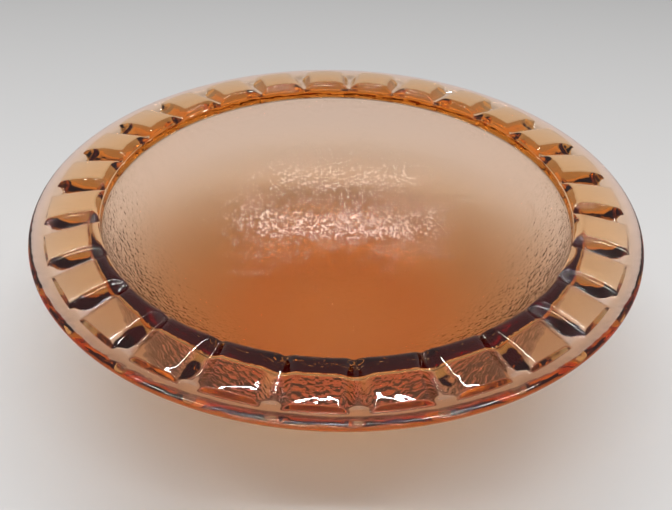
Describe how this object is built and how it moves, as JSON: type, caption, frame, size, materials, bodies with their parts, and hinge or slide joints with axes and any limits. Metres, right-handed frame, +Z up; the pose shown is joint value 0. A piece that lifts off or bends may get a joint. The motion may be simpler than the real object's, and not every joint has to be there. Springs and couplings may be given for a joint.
{
  "type": "glass bowl",
  "caption": "Wide, shallow bowl of tinted glass with a thick foot, a hammered well and a broad rim carrying a ring of raised wedge-shaped blocks.",
  "frame": {"origin": "centre of the flat underside of the foot", "axes": "+Z up along the bowl's axis, with -Y towards the viewer; the pattern repeats round Z, so +X and +Y have no meaning of their own"},
  "size_m": [0.36, 0.36, 0.1064],
  "materials": {
    "tinted_glass": "fire-polished, clear peach tint"
  },
  "bodies": {
    "root": {"foot": "tinted_glass", "well": "tinted_glass", "mouth_ring": "tinted_glass", "rim_plate": "tinted_glass", "lip": "tinted_glass", "rim_blocks": "tinted_glass"}
  },
  "joints": []
}
